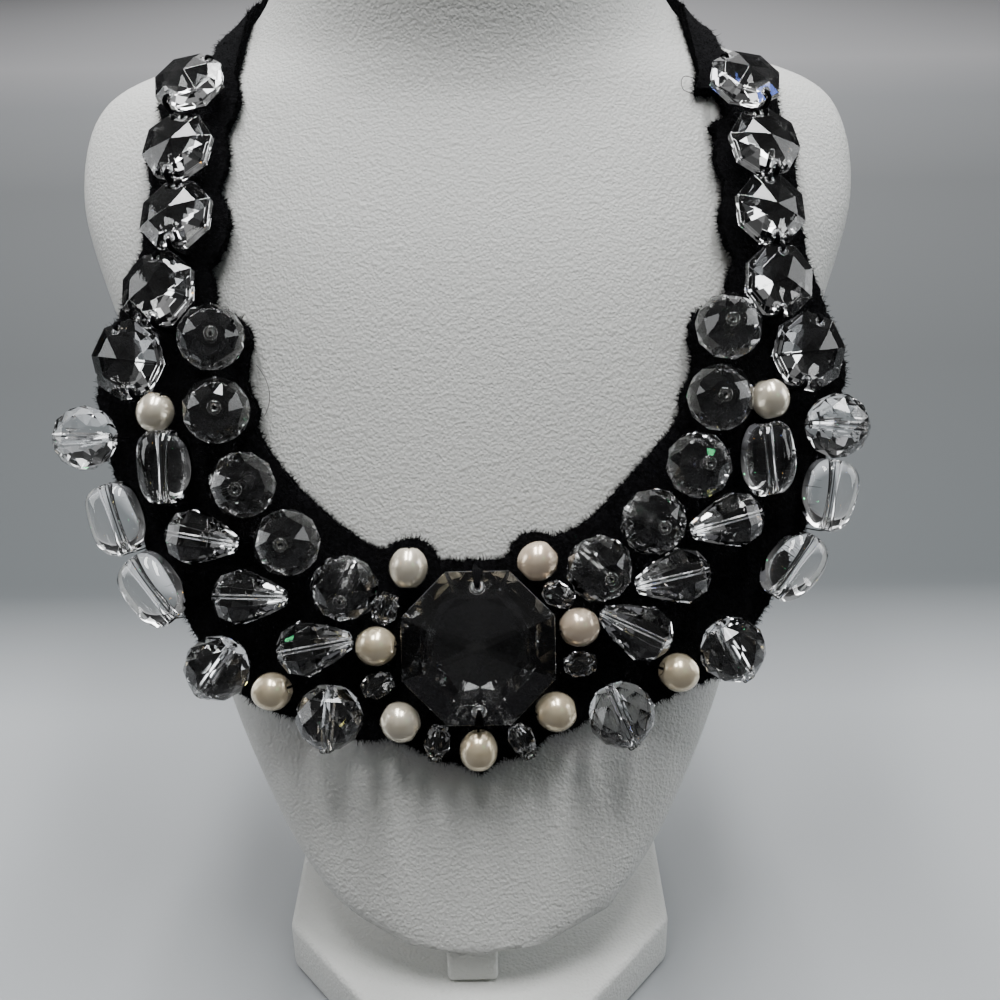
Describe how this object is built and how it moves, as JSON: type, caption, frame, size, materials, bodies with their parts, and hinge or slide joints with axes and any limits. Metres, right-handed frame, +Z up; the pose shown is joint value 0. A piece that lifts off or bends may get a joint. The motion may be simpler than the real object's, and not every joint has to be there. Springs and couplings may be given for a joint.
{
  "type": "bib necklace on neck bust",
  "caption": "Bib necklace of faceted crystals and pearls sewn on black velvet, displayed on a white neck bust with a post and plinth.",
  "frame": {"origin": "middle of the plinth's underside", "axes": "+Z up out of the plinth, -Y towards the viewer who faces the necklace, +X to that viewer's right"},
  "size_m": [0.1744, 0.1631, 0.2325],
  "materials": {
    "velvet": "black cotton velvet with a short pile",
    "crystal": "clear, faceted and polished",
    "pearl": "pearlescent cream",
    "clasp_metal": "satin",
    "leatherette": "off-white, fine pebble grain"
  },
  "bodies": {
    "root": {"velvet_backing": "velvet", "neck_clasp": "clasp_metal", "centre_stone": "crystal", "strap_stone_left_1": "crystal", "strap_stone_left_2": "crystal", "strap_stone_left_3": "crystal", "strap_stone_left_4": "crystal", "strap_stone_left_5": "crystal", "inner_balls_left": "crystal", "outer_ball_left_1": "crystal", "outer_ball_left_2": "crystal", "outer_ball_left_3": "crystal", "drops_left": "crystal", "nugget_left_1": "crystal", "nugget_left_2": "crystal", "nugget_left_3": "crystal", "pearl_left_1": "pearl", "pearl_left_2": "pearl", "pearl_left_3": "pearl", "pearl_left_4": "pearl", "pearl_left_5": "pearl", "small_bead_left_1": "crystal", "small_bead_left_2": "crystal", "strap_stone_right_1": "crystal", "strap_stone_right_2": "crystal", "strap_stone_right_3": "crystal", "strap_stone_right_4": "crystal", "strap_stone_right_5": "crystal", "inner_balls_right": "crystal", "outer_ball_right_1": "crystal", "outer_ball_right_2": "crystal", "outer_ball_right_3": "crystal", "drops_right": "crystal", "nugget_right_1": "crystal", "nugget_right_2": "crystal", "nugget_right_3": "crystal", "pearl_right_1": "pearl", "pearl_right_2": "pearl", "pearl_right_3": "pearl", "pearl_right_4": "pearl", "pearl_right_5": "pearl", "small_bead_right_1": "crystal", "small_bead_right_2": "crystal", "pearl_bottom": "pearl", "small_bead_bottom_left": "crystal", "small_bead_bottom_right": "crystal", "neck_bust": "leatherette", "support_post": "leatherette", "plinth": "leatherette"}
  },
  "joints": []
}
